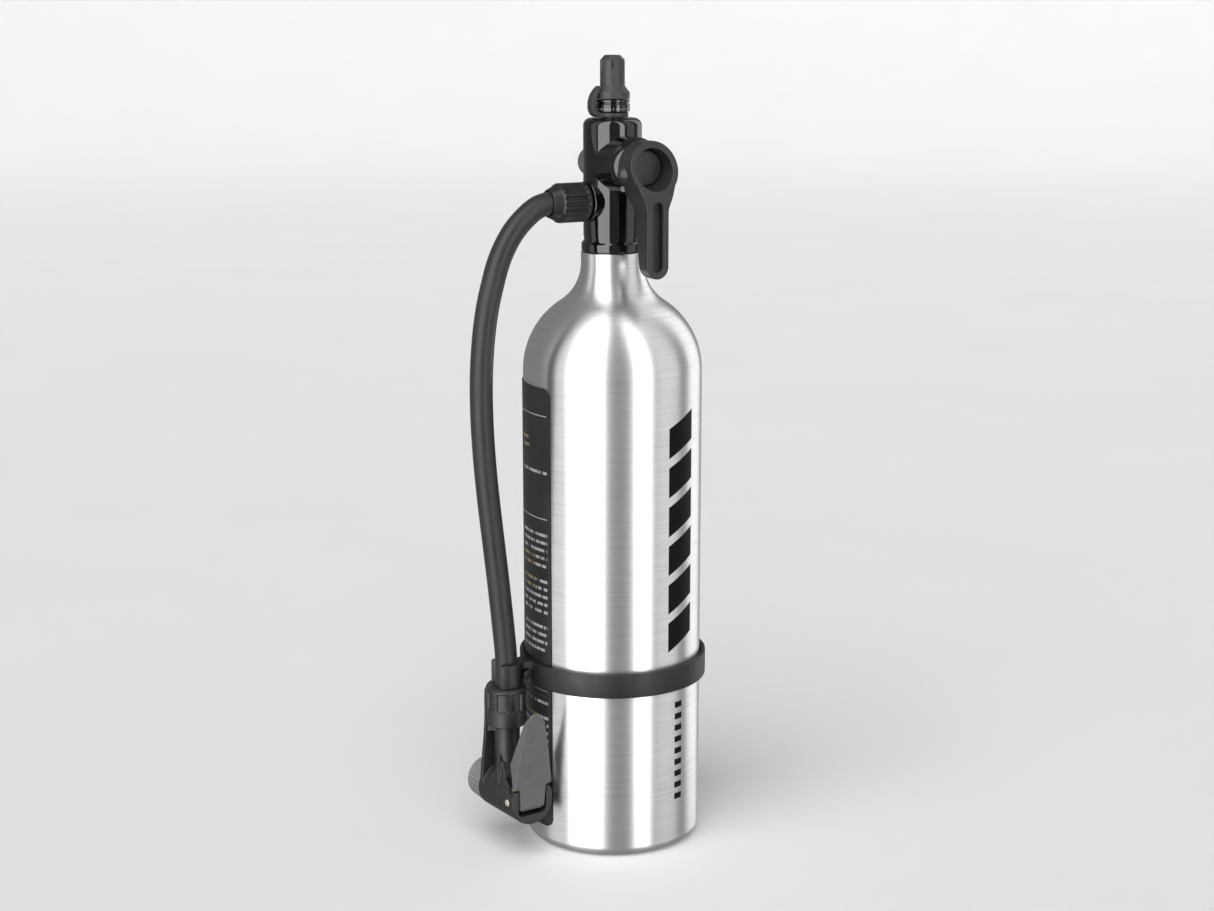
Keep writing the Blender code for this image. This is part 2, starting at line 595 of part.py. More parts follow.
def make_chuck_inside(finish):
    base = (0, 0, BARREL_Z)
    low, high = PLUNGER
    profile = [(0, low), (PLUNGER_R - 0.6, low), (PLUNGER_R, low + 0.6), (PLUNGER_R, -7.4), (3.7, -7.4),
               (3.7, -5.4), (PLUNGER_R, -5.4), (PLUNGER_R, high), (0, high)]
    plunger = part("chuck_plunger", turned(profile, Y_AXIS, base), finish["ivory"], base)
    cut(plunger, rod(1.6, (0, -2, BARREL_Z), (0, 10, BARREL_Z), 16),
        rod(1.5, (0, 0.5, BARREL_Z), (0, 0.5, BARREL_Z + 8), 12))
    part("plunger_oring", seal(4.0, 4.9, -6.4, Y_AXIS, base), finish["rubber"], base)
    part("chuck_grommet", ring(SOCKET_R, 5.3, 7.1, STUB_END - GAP, Y_AXIS, base, 24), finish["rubber"])
    near, far = NOSE
    cap = [(7.2, near), (10.0, near), (9.3, far - 0.9), (8.4, far), (4.5, far), (4.5, STUB_END + GAP),
           (7.2, STUB_END + GAP)]
    part("nose_cap", turned(cap, Y_AXIS, base, 48, (near - 0.1, far - 0.8, 8.6, (0, 0.4))),
         finish["light_grey"], base)
    barb = [(1.5, 50.0), (2.8, 50.0), (2.8, TUBE_TOP + GAP), (4.9, TUBE_TOP + GAP), (4.9, 66.0), (1.5, 66.0)]
    part("chuck_barb", turned(barb, segments=ROUND_SMALL), finish["brass"])


def make_chuck_collar(finish):
    low, high = COLLAR_Z
    step = 63.0
    profile = [
        (6.0, low), (COLLAR_R - 0.3, low), (COLLAR_R, low + 0.3), (COLLAR_R, 63.2), (COLLAR_R, 64.2),
        (COLLAR_R, 72.3), (COLLAR_R, 72.9), (COLLAR_R - 0.2, 73.3), (COLLAR_R - 1.3, high), (5.2, high),
        (5.2, step + 0.6), (6.0, step),
    ]
    ribs = (64.1, 72.4, 8.0, (0, 0.7, 0.7, 0.7))
    part("chuck_collar", turned(profile, segments=32, ribs=ribs), finish["charcoal"], (0, 0, low))


def main():
    clear_scene()
    finish = {
        "aluminium": material("aluminium", (0.78, 0.78, 0.79), 0.3, 1.0),
        "label": material("label", (0.03, 0.03, 0.033), 0.45),
        "gloss_black": material("gloss_black", (0.01, 0.01, 0.011), 0.18),
        "charcoal": material("charcoal", (0.045, 0.045, 0.048), 0.5),
        "band_black": material("band_black", (0.018, 0.018, 0.019), 0.5),
        "mid_grey": material("mid_grey", (0.13, 0.13, 0.135), 0.5),
        "light_grey": material("light_grey", (0.27, 0.27, 0.28), 0.55),
        "rubber": material("rubber", (0.022, 0.022, 0.023), 0.65),
        "ivory": material("ivory", (0.6, 0.57, 0.5), 0.4),
        "brass": material("brass", (0.78, 0.6, 0.3), 0.3, 1.0),
        "steel": material("steel", (0.5, 0.5, 0.5), 0.35, 1.0),
        "grey_metal": material("grey_metal", (0.4, 0.4, 0.41), 0.35, 1.0),
    }
    make_bottle(finish)
    make_valve_body(finish)
    make_spool(finish)
    make_valve_lever(finish)
    make_fill_valve(finish)
    make_hose_fitting(finish)
    make_hose(finish)
    settle([make_band], finish, (0, 0), BAND_TURN)
    chuck = [make_chuck_housing, make_chuck_lever, make_chuck_inside, make_chuck_collar]
    settle(chuck, finish, CHUCK_PLACE, CHUCK_TURN)


main()
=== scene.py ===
"""The looks of a one litre compressed-air canister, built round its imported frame.

Lengths in the makers are in millimetres and become metres when a mesh is made. Angles round the
bottle are in degrees from -Y towards -X. The chuck and the band clip are built square to the axes,
then moved by CHUCK_PLACE and BAND_PLACE.
"""
import math

import bmesh
import bpy
from mathutils import Matrix, Vector
from mathutils.geometry import interpolate_bezier


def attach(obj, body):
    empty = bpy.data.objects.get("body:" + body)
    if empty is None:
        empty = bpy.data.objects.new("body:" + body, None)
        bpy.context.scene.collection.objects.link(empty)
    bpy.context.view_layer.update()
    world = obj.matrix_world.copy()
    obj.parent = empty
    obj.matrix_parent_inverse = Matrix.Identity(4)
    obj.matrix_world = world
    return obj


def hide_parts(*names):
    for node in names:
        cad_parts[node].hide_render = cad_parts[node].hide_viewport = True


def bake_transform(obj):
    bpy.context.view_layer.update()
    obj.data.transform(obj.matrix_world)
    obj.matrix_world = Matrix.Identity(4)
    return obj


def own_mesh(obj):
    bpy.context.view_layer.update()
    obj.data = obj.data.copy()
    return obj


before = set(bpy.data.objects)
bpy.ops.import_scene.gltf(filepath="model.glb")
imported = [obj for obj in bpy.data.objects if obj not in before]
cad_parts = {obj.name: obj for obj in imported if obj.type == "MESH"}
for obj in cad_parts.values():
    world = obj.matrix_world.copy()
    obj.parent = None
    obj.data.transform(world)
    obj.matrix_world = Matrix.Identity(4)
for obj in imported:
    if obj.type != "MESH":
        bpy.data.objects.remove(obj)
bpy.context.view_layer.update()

MM = 0.001
X_AXIS = Vector((1, 0, 0))
Y_AXIS = Vector((0, 1, 0))
Z_AXIS = Vector((0, 0, 1))

BOTTLE_R = 39.0
LEVER_Z = 300.3
PORT_Z = 284.8
BARREL_Z = 26.4
PIN_Y = -15.5

HOSE_R = 4.9
HOSE_ROUTE = (
    (-28.0, 0.0, 284.8), (-32.0, 0.0, 284.8), (-37.0, 0.0, 283.4), (-42.2, 0.0, 279.9),
    (-47.2, 0.0, 275.2), (-51.6, 0.0, 269.2), (-55.4, 0.1, 261.6), (-58.2, 0.2, 252.9),
    (-60.9, 0.4, 242.0), (-62.7, 0.8, 229.0), (-63.7, 1.2, 213.0), (-63.4, 1.8, 196.0),
    (-62.1, 2.5, 178.0), (-60.1, 3.2, 160.0), (-57.8, 3.7, 142.0), (-55.4, 4.3, 124.0),
    (-53.5, 4.7, 108.0), (-52.2, 4.9, 96.0), (-51.5, 5.0, 88.0), (-51.36, 5.0, 80.0),
    (-51.36, 5.0, 72.0), (-51.36, 5.0, 66.3),
)

LABEL_ANGLES = (73.8, 243.8)
PRINT_ANGLES = (76.5, 241.0)

BAND_PLACE = Matrix.Rotation(math.radians(-5.56), 4, "Z")
CHUCK_PLACE = Matrix.Translation((-0.05136, 0.005, 0)) @ Matrix.Rotation(math.radians(4), 4, "Z")


# ---------------------------------------------------------------- shapes

def arc(centre, radius, start, end, steps):
    """Points on a circle, angles in degrees, both ends included."""
    points = []
    for step in range(steps + 1):
        angle = math.radians(start + (end - start) * step / steps)
        points.append((centre[0] + radius * math.cos(angle), centre[1] + radius * math.sin(angle)))
    return points


def soften(points, radius, closed=False, steps=4):
    """Rounds each corner of a flat line of points, by less where an edge is short."""
    made = []
    for i, point in enumerate(points):
        here = Vector(point)
        if not closed and i in (0, len(points) - 1):
            made.append(tuple(here))
            continue
        into = Vector(points[i - 1]) - here
        out = Vector(points[(i + 1) % len(points)]) - here
        bend = into.angle(-out)
        if bend < math.radians(14):
            made.append(tuple(here))
            continue
        reach = min(radius * math.tan(bend / 2), 0.45 * into.length, 0.45 * out.length)
        start = here + into.normalized() * reach
        end = here + out.normalized() * reach
        for step in range(steps + 1):
            t = step / steps
            made.append(tuple(start * (1 - t) ** 2 + here * 2 * t * (1 - t) + end * t**2))
    return made


def spread(points, step):
    """The same line with a point at least every step."""
    made = [points[0]]
    for start, end in zip(points, points[1:]):
        count = max(1, math.ceil(math.dist(start, end) / step))
        for i in range(1, count + 1):
            t = i / count
            made.append((start[0] + (end[0] - start[0]) * t, start[1] + (end[1] - start[1]) * t))
    return made


def body_of(verts, faces):
    bm = bmesh.new()
    made = [bm.verts.new(vert) for vert in verts]
    for face in faces:
        bm.faces.new([made[i] for i in face])
    bmesh.ops.recalc_face_normals(bm, faces=bm.faces)
    return bm


def turned(profile, axis=Z_AXIS, base=(0, 0, 0), segments=96, shape=None):
    """A body of revolution from (radius, distance along the axis) points.

    A profile whose ends lie on the axis is open, any other is a closed loop. shape(radius, height,
    angle) gives each point's radius.
    """
    verts, rows, faces = [], [], []
    for radius, height in profile:
        if radius < 1e-6:
            rows.append([len(verts)] * segments)
            verts.append((0, 0, height))
            continue
        rows.append(list(range(len(verts), len(verts) + segments)))
        for i in range(segments):
            angle = math.tau * i / segments
            reach = shape(radius, height, angle) if shape else radius
            verts.append((reach * math.cos(angle), reach * math.sin(angle), height))
    pairs = list(zip(rows, rows[1:]))
    if profile[0][0] > 1e-6:
        pairs.append((rows[-1], rows[0]))
    for lower, upper in pairs:
        for i in range(segments):
            j = (i + 1) % segments
            corners = list(dict.fromkeys((lower[i], lower[j], upper[j], upper[i])))
            if len(corners) > 2:
                faces.append(corners)
    bm = body_of(verts, faces)
    turn = Z_AXIS.rotation_difference(axis).to_matrix().to_4x4()
    bmesh.ops.transform(bm, matrix=Matrix.Translation(base) @ turn, verts=bm.verts)
    return bm


def rod(radius, start, end, segments=64, edge=0.0):
    start = Vector(start)
    length = (Vector(end) - start).length
    profile = [(0, 0), (radius, 0), (radius, length), (0, length)]
    if edge:
        profile = soften(profile, edge)
    return turned(profile, (Vector(end) - start).normalized(), start, segments)


def seal(inner, outer, middle, axis=Z_AXIS, base=(0, 0, 0)):
    half = (outer - inner) / 2
    return turned(arc(((inner + outer) / 2, middle), half, 0, 337.5, 15), axis, base, 72)


def prism(outline, plane, low, high):
    """An outline in the plane XY, XZ or YZ, extruded from low to high along the third axis."""
    place = {
        "XY": lambda a, b: (a, b, low),
        "XZ": lambda a, b: (a, low, b),
        "YZ": lambda a, b: (low, a, b),
    }[plane]
    along = {"XY": Z_AXIS, "XZ": Y_AXIS, "YZ": X_AXIS}[plane]
    bm = bmesh.new()
    face = bm.faces.new([bm.verts.new(place(a, b)) for a, b in outline])
    grown = bmesh.ops.extrude_face_region(bm, geom=[face])["geom"]
    moved = [item for item in grown if isinstance(item, bmesh.types.BMVert)]
    bmesh.ops.translate(bm, verts=moved, vec=along * (high - low))
    bmesh.ops.recalc_face_normals(bm, faces=bm.faces)
    return bm


def block(low, high):
    outline = [(low[0], low[1]), (high[0], low[1]), (high[0], high[1]), (low[0], high[1])]
    return prism(outline, "XY", low[2], high[2])


def hull(points):
    bm = bmesh.new()
    verts = [bm.verts.new(point) for point in points]
    made = bmesh.ops.convex_hull(bm, input=verts)
    unused = [item for item in made["geom_interior"] if isinstance(item, bmesh.types.BMVert)]
    bmesh.ops.delete(bm, geom=unused, context="VERTS")
    bmesh.ops.recalc_face_normals(bm, faces=bm.faces)
    return bm


def stack(levels):
    """Rectangles (half width, front, back, height) joined one above the other, as a closed body."""
    verts, faces = [], []
    for half, front, back, height in levels:
        verts += [(-half, front, height), (half, front, height)]
        verts += [(half, back, height), (-half, back, height)]
    for level in range(len(levels) - 1):
        low = level * 4
        for i in range(4):
            j = (i + 1) % 4
            faces.append((low + i, low + j, low + j + 4, low + i + 4))
    top = len(verts) - 4
    faces += [(0, 1, 2, 3), (top, top + 1, top + 2, top + 3)]
    return body_of(verts, faces)


def along(points, radius, sides):
    """A closed round tube that follows the points."""
    ahead = (points[1] - points[0]).normalized()
    across = ahead.orthogonal().normalized()
    verts, faces = [], []
    for i, point in enumerate(points):
        nearby = points[min(i + 1, len(points) - 1)] - points[max(i - 1, 0)]
        turn = ahead.rotation_difference(nearby.normalized())
        ahead = nearby.normalized()
        across = (turn @ across).normalized()
        up = ahead.cross(across)
        for side in range(sides):
            angle = math.tau * side / sides
            verts.append(point + (across * math.cos(angle) + up * math.sin(angle)) * radius)
    for ring in range(len(points) - 1):
        for side in range(sides):
            a, b = ring * sides + side, ring * sides + (side + 1) % sides
            faces.append((a, b, b + sides, a + sides))
    last = (len(points) - 1) * sides
    faces += [tuple(range(sides)), tuple(range(last, last + sides))]
    return body_of(verts, faces)


def mesh_object(name, bm):
    bmesh.ops.scale(bm, verts=bm.verts, vec=(MM, MM, MM))
    mesh = bpy.data.meshes.new(name)
    bm.to_mesh(mesh)
    bm.free()
    obj = bpy.data.objects.new(name, mesh)
    bpy.context.scene.collection.objects.link(obj)
    return obj


def settled(obj):
    """Turns the modifiers into plain mesh."""
    graph = bpy.context.evaluated_depsgraph_get()
    mesh = bpy.data.meshes.new_from_object(obj.evaluated_get(graph))
    obj.modifiers.clear()
    obj.data = mesh


def combine(obj, operation, *shapes):
    for shape in shapes:
        helper = mesh_object("helper", shape)
        modifier = obj.modifiers.new(operation, "BOOLEAN")
        modifier.operation = operation
        modifier.solver = "EXACT"
        modifier.object = helper
        settled(obj)
        bpy.data.objects.remove(helper)


def rounded(obj, width, segments=3):
    """Rounds the edges of a body with flat faces."""
    modifier = obj.modifiers.new("edges", "BEVEL")
    modifier.width = width * MM
    modifier.segments = segments
    modifier.limit_method = "ANGLE"
    modifier.angle_limit = math.radians(30)
    settled(obj)


def moulded(obj, voxel, passes, ratio):
    """Melts a body of several shapes into one skin with soft edges, as it leaves a mould."""
    remesh = obj.modifiers.new("skin", "REMESH")
    remesh.mode = "VOXEL"
    remesh.voxel_size = voxel * MM
    smooth = obj.modifiers.new("soft", "SMOOTH")
    smooth.factor = 0.5
    smooth.iterations = passes
    thin = obj.modifiers.new("thin", "DECIMATE")
    thin.ratio = ratio
    settled(obj)


def show(node, shape, body, slot, place=None, smooth=38, ride=True, look=None):
    """Gives a finished mesh its body and material, in place of its CAD node.

    look names a darker or lighter finish for a piece that keeps its slot.
    """
    obj = shape if isinstance(shape, bpy.types.Object) else mesh_object("shape", shape)
    obj.name = f"{node}_detail"
    if place:
        obj.data.transform(place)
    obj.data.materials.clear()
    obj.data.materials.append(finish[look or slot])
    obj.data.shade_smooth()
    obj.data.set_sharp_from_angle(angle=math.radians(smooth))
    if ride:
        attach(obj, body)
    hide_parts(node)
    return obj


# ---------------------------------------------------------------- materials

class Finish:
    """A material's node tree, with short ways to add to it."""

    def __init__(self, name, roughness, metallic=0.0, **fixed):
        self.made = bpy.data.materials.new(name)
        self.made.use_nodes = True
        self.tree = self.made.node_tree
        self.shader = self.tree.nodes["Principled BSDF"]
        self.shader.inputs["Roughness"].default_value = roughness
        self.shader.inputs["Metallic"].default_value = metallic
        for socket, value in fixed.items():
            self.shader.inputs[socket.replace("_", " ")].default_value = value
        self.place = self.node("ShaderNodeTexCoord").outputs["Object"]

    def node(self, kind, *inputs, **settings):
        made = self.tree.nodes.new(kind)
        for name, value in settings.items():
            setattr(made, name, value)
        for socket, value in zip(made.inputs, inputs):
            self.feed(socket, value)
        return made

    def feed(self, socket, value):
        if isinstance(value, bpy.types.NodeSocket):
            self.tree.links.new(value, socket)
        elif value is not None:
            socket.default_value = value

    def math(self, operation, *inputs):
        return self.node("ShaderNodeMath", *inputs, operation=operation).outputs[0]

    def add(self, first, second):
        return self.math("ADD", first, second)

    def times(self, *factors):
        product = factors[0]
        for factor in factors[1:]:
            product = self.math("MULTIPLY", product, factor)
        return product

    def noise(self, scale, detail=2.0):
        """Noise from 0 to 1 whose features repeat about scale times in a metre on each axis."""
        scales = scale if isinstance(scale, tuple) else (scale,) * 3
        spaced = self.node("ShaderNodeVectorMath", self.place, scales, operation="MULTIPLY").outputs[0]
        made = self.node("ShaderNodeTexNoise", spaced)
        made.inputs["Scale"].default_value = 1.0
        made.inputs["Detail"].default_value = detail
        return made.outputs[0]

    def span(self, value, low, high, new_low, new_high):
        made = self.node("ShaderNodeMapRange", value, low, high, new_low, new_high)
        return made.outputs[0]

    def tint(self, factor, first, second):
        made = self.node("ShaderNodeMix", data_type="RGBA")
        self.feed(made.inputs[0], factor)
        for socket, value in ((made.inputs[6], first), (made.inputs[7], second)):
            self.feed(socket, (*value, 1) if isinstance(value, tuple) else value)
        return made.outputs[2]

    def bump(self, height, depth, normal=None):
        made = self.node("ShaderNodeBump")
        made.inputs["Strength"].default_value = 1.0
        made.inputs["Distance"].default_value = depth * MM
        self.feed(made.inputs["Height"], height)
        self.feed(made.inputs["Normal"], normal)
        return made.outputs[0]

    def wear(self, **linked):
        for socket, value in linked.items():
            self.feed(self.shader.inputs[socket.replace("_", " ")], value)
        return self.made


def shade(colour, factor):
    return tuple(channel * factor for channel in colour)


def plastic(name, colour, roughness, grain, pitch=0.5):
    """Moulded plastic: fine grain of about pitch millimetres, faint cloudiness and rubbed patches."""
    made = Finish(name, roughness)
    cloud = made.noise(55, 3.0)
    grit = made.noise(1000 / pitch, 3.0)
    rub = made.span(made.noise(130, 4.0), 0.48, 0.72, 0.0, 1.0)
    tone = made.tint(made.span(cloud, 0.3, 0.7, 0.0, 1.0), shade(colour, 0.86), shade(colour, 1.14))
    tone = made.tint(made.span(grit, 0.35, 0.75, 0.0, 0.4), tone, shade(colour, 2.1))
    rough = made.span(rub, 0.0, 1.0, roughness + 0.04, roughness - 0.07)
    rough = made.add(rough, made.span(grit, 0.3, 0.7, -0.03, 0.05))
    return made.wear(Base_Color=tone, Roughness=rough, Normal=made.bump(grit, grain))


def metal(name, colour, roughness):
    """Machined metal with fine uneven tool marks and a few dull spots."""
    made = Finish(name, roughness, 1.0)
    marks = made.noise(4000.0, 4.0)
    cloud = made.noise(240, 3.0)
    tone = made.tint(made.span(cloud, 0.3, 0.75, 0.0, 1.0), shade(colour, 0.82), colour)
    rough = made.span(cloud, 0.3, 0.7, roughness, roughness + 0.1)
    rough = made.add(made.span(marks, 0.3, 0.7, -0.06, 0.07), rough)
    return made.wear(Base_Color=tone, Roughness=rough, Normal=made.bump(marks, 0.006))


def around(made):
    """Angle in degrees from -Y towards -X, and height in millimetres."""
    parts = made.node("ShaderNodeSeparateXYZ", made.place)
    across = made.times(parts.outputs[0], -1.0)
    front = made.times(parts.outputs[1], -1.0)
    angle = made.times(made.math("ARCTAN2", across, front), math.degrees(1))
    return angle, made.times(parts.outputs[2], 1000.0)


def between(made, value, low, high, edge=0.12):
    """1 where value lies between low and high, with a narrow soft edge."""
    rise = made.span(value, low - edge, low + edge, 0.0, 1.0)
    fall = made.span(value, high - edge, high + edge, 1.0, 0.0)
    return made.times(rise, fall)


def brushed_aluminium():
    """Satin aluminium turned on a lathe, with dark blocks and a row of ticks printed up the front."""
    made = Finish("satin_aluminium", 0.33, 1.0, Anisotropic=0.7, Anisotropic_Rotation=0.25)
    lines = made.noise((26, 26, 5200), 2.0)
    bands = made.noise((16, 16, 1150), 4.0)
    cloud = made.noise(28, 3.0)
    angle, height = around(made)
    across = made.times(made.add(angle, 18.5), math.radians(BOTTLE_R))
    slanted = made.add(height, made.times(across, 0.45))
    cycle = made.math("FRACT", made.math("DIVIDE", made.math("SUBTRACT", slanted, 93.5), 17.2))
    blocks = made.times(between(made, across, -7.6, 7.6), between(made, slanted, 93.6, 196.0))
    blocks = made.times(blocks, between(made, cycle, 0.1, 0.86, 0.006))
    small = made.math("FRACT", made.math("DIVIDE", made.math("SUBTRACT", height, 22.0), 5.3))
    ticks = made.times(between(made, across, -1.2, 3.4), between(made, height, 22.0, 69.5))
    ticks = made.times(ticks, between(made, small, 0.2, 0.72, 0.02))
    ink = made.math("MINIMUM", made.add(blocks, ticks), 1.0)
    marks = made.add(made.times(lines, 0.35), made.times(bands, 0.65))
    streak = made.span(marks, 0.3, 0.7, 0.0, 1.0)
    tone = made.tint(streak, (0.74, 0.74, 0.745), (0.91, 0.91, 0.915))
    tone = made.tint(made.span(cloud, 0.35, 0.7, 0.0, 0.25), tone, (0.66, 0.66, 0.665))
    tone = made.tint(ink, tone, (0.004, 0.004, 0.0042))
    rough = made.add(made.span(streak, 0.0, 1.0, 0.36, 0.31), made.span(cloud, 0.3, 0.7, -0.015, 0.02))
    rough = made.add(rough, made.times(ink, 0.2))
    sheen = made.math("SUBTRACT", 0.5, made.times(ink, 0.38))
    lathe = made.node("ShaderNodeTangent", direction_type="RADIAL", axis="Z").outputs[0]
    return made.wear(Base_Color=tone, Roughness=rough, Metallic=made.math("SUBTRACT", 1.0, ink),
                     Specular_IOR_Level=sheen, Normal=made.bump(streak, 0.0008), Tangent=lathe)


def label_film():
    """Dark film with plain rules and rows of short bars where small print would be."""
    made = Finish("label_film", 0.42, IOR=1.5)
    angle, height = around(made)
    turned_angle = made.math("MODULO", made.add(angle, 360.0), 360.0)
    across = made.times(turned_angle, math.radians(BOTTLE_R))
    start, stop = (math.radians(BOTTLE_R) * edge for edge in PRINT_ANGLES)
    row = made.math("DIVIDE", height, 3.45)
    index = made.math("FLOOR", row)
    inside = between(made, made.math("FRACT", row), 0.3, 0.66, 0.06)
    spot = made.node("ShaderNodeCombineXYZ", made.times(across, 0.62), made.times(index, 7.7))
    words = made.node("ShaderNodeTexNoise", spot.outputs[0])
    words.inputs["Scale"].default_value = 1.0
    words.inputs["Detail"].default_value = 1.0
    dashes = made.span(words.outputs[0], 0.43, 0.46, 0.0, 1.0)
    column = between(made, made.math("FRACT", made.math("DIVIDE", across, 38.0)), 0.06, 0.94, 0.003)
    block = made.add(between(made, height, 20.5, 70.0), between(made, height, 90.5, 145.0))
    block = made.add(block, between(made, height, 168.0, 172.0))
    away = made.math("GREATER_THAN", across, start + 14.0)
    block = made.add(block, made.times(between(made, height, 179.0, 185.5), away))
    gaps = made.math("GREATER_THAN", made.math("FRACT", made.math("DIVIDE", index, 6.0)), 0.1)
    rows = made.times(block, inside, dashes, column, gaps)
    rules = made.add(between(made, height, 195.3, 195.7), between(made, height, 150.1, 150.5))
    rules = made.add(rules, between(made, height, 72.6, 72.95))
    marks = made.math("MINIMUM", made.add(rows, rules), 1.0)
    marks = made.times(marks, between(made, across, start, stop))
    gold = made.math("LESS_THAN", made.math("FRACT", made.math("DIVIDE", index, 17.0)), 0.24)
    gold = made.times(gold, made.math("GREATER_THAN", across, start + 8.0))
    ink = made.tint(gold, (0.46, 0.46, 0.47), (0.34, 0.27, 0.15))
    cloud = made.noise(40, 3.0)
    fine = made.noise(1600, 2.0)
    film = made.tint(made.span(cloud, 0.3, 0.7, 0.0, 1.0), (0.014, 0.014, 0.015), (0.021, 0.021, 0.022))
    rough = made.add(made.span(cloud, 0.3, 0.7, 0.36, 0.46), made.times(marks, 0.1))
    tone = made.tint(marks, film, ink)
    return made.wear(Base_Color=tone, Roughness=rough, Normal=made.bump(fine, 0.004))


def gloss_black():
    """Polished black shell with a faint ripple, and short ticks round the fill collar."""
    made = Finish("gloss_black", 0.06, IOR=1.7)
    angle, height = around(made)
    cycle = made.math("FRACT", made.math("DIVIDE", angle, 11.0))
    ticks = made.times(between(made, height, 323.2, 324.1, 0.08), between(made, cycle, 0.3, 0.62, 0.03))
    cloud = made.noise(90, 4.0)
    swirl = made.noise(420, 2.0)
    tone = made.tint(made.span(cloud, 0.3, 0.7, 0.0, 1.0), (0.0015, 0.0015, 0.0016), (0.003, 0.003, 0.0032))
    tone = made.tint(ticks, tone, (0.3, 0.3, 0.3))
    rough = made.span(cloud, 0.35, 0.75, 0.045, 0.09)
    return made.wear(Base_Color=tone, Roughness=rough, Normal=made.bump(swirl, 0.004))


def hose_rubber():
    """Extruded rubber with faint lines along it and a dusty sheen."""
    made = Finish("hose_rubber", 0.55, Sheen_Weight=0.12, Sheen_Roughness=0.45)
    cloud = made.noise(70, 4.0)
    grit = made.noise(1500, 3.0)
    lines = made.noise((1400, 1400, 30), 2.0)
    tone = made.tint(made.span(cloud, 0.3, 0.7, 0.0, 1.0), (0.010, 0.010, 0.0105), (0.018, 0.018, 0.0185))
    rough = made.add(made.span(cloud, 0.3, 0.7, 0.40, 0.50), made.span(grit, 0.3, 0.7, -0.04, 0.04))
    height = made.add(made.times(grit, 0.5), made.times(lines, 0.5))
    return made.wear(Base_Color=tone, Roughness=rough, Normal=made.bump(height, 0.02))


finish = {
    "satin_aluminium": brushed_aluminium(),
    "label_film": label_film(),
    "gloss_black": gloss_black(),
    "charcoal": plastic("charcoal", (0.021, 0.021, 0.0215), 0.36, 0.045, 0.6),
    "mid_grey": plastic("mid_grey", (0.105, 0.105, 0.107), 0.42, 0.03, 0.6),
    "cap_grey": plastic("cap_grey", (0.030, 0.030, 0.031), 0.44, 0.03, 0.6),
    "light_grey": plastic("light_grey", (0.2, 0.2, 0.203), 0.42, 0.03, 0.6),
    "band_black": plastic("band_black", (0.007, 0.007, 0.0073), 0.44, 0.02, 0.8),
    "nut_black": plastic("nut_black", (0.010, 0.010, 0.0105), 0.34, 0.02, 0.6),
    "hose_rubber": hose_rubber(),
    "seal_rubber": plastic("seal_rubber", (0.016, 0.016, 0.016), 0.5, 0.01),
    "ivory": plastic("ivory", (0.62, 0.56, 0.46), 0.35, 0.008),
    "brass": metal("brass", (0.78, 0.6, 0.3), 0.24),
    # Brass lightened towards white: a painted highlight for the ends of the chuck lever pin.
    "brass_painted_highlight": metal("brass_painted_highlight", (0.95, 0.88, 0.72), 0.45),
    "steel": metal("steel", (0.5, 0.5, 0.5), 0.3),
    "black_steel": metal("black_steel", (0.03, 0.03, 0.031), 0.36),
    "grey_metal": metal("grey_metal", (0.36, 0.36, 0.37), 0.36),
}


# ---------------------------------------------------------------- camera and hose

def hose_points(spacing):
    """Points on a smooth curve through the route, at most about spacing apart."""
    route = [Vector(place) for place in HOSE_ROUTE]
    ends = [route[0] * 2 - route[1], *route, route[-1] * 2 - route[-2]]
    points = []
    for before, start, end, after in zip(ends, ends[1:], ends[2:], ends[3:]):
        first = start + (end - before) / 6
        second = end - (after - start) / 6
        pieces = max(1, round((end - start).length / spacing))
        points += interpolate_bezier(start, first, second, end, pieces + 1)[:-1]
    points.append(route[-1])
    return points


def make_camera():
    camera = bpy.data.objects.new("camera", bpy.data.cameras.new("camera"))
    camera.location = (-0.4569, -0.7603, 0.3656)
    camera.rotation_euler = (math.radians(77.64), 0, math.radians(-31))
    camera.data.lens = 61.12
    camera.data.sensor_width = 36
    camera.data.shift_x = -0.00436
    camera.data.shift_y = 0.0029
    camera.data.clip_start = 0.02
    camera.data.clip_end = 200
    bpy.context.scene.collection.objects.link(camera)
    bpy.context.scene.camera = camera


def make_hose():
    """The hose: one fixed round tube along a smooth curve through the route, from the swivel end to the
    chuck.
    """
    points = hose_points(2.0)
    hose = show("hose", along(points, HOSE_R, 40), "tank", "hose_rubber", ride=False)
    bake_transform(hose)


# ---------------------------------------------------------------- bottle, label and head

def polar(radius, angle):
    return (-radius * math.sin(math.radians(angle)), -radius * math.cos(math.radians(angle)))


def make_bottle():
    """The bottle with its domed shoulder and neck, hollow inside, and the seal on its mouth."""
    bend, reach, fillet_r, neck_r = (3.1, 211.5), 35.9, 20.0, 13.6
    across = neck_r + fillet_r - bend[0]
    fillet = (neck_r + fillet_r, bend[1] + math.sqrt((reach + fillet_r) ** 2 - across**2))
    meet = math.degrees(math.atan2(fillet[1] - bend[1], across))
    profile = soften([(0.0, 0.0), (27.0, 0.0), (27.4, 0.6), (28.6, 0.6), (29.0, 0.0), (33.0, 0.0)], 0.5)
    profile += arc((BOTTLE_R - 4.9, 4.9), 4.9, -90, 0, 14)
    profile += arc(bend, reach, 0, meet, 44)
    profile += arc(fillet, fillet_r, meet + 180, 180, 22)[1:]
    profile += soften([(neck_r, 258.0), (neck_r, 263.0), (9.0, 263.0), (9.0, 249.0)], 0.4)
    open_angle = math.degrees(math.acos((14.0 - bend[0]) / (reach - 2.2)))
    profile += arc(bend, reach - 2.2, open_angle, 0, 20)
    profile += soften([(36.8, 100.0), (36.8, 8.5), (32.8, 4.5), (0.0, 4.5)], 3.0)
    show("bottle", turned(profile, segments=192), "tank", "satin_aluminium")
    show("neck_oring", seal(9.7, 11.3, 264.1), "tank", "seal_rubber")


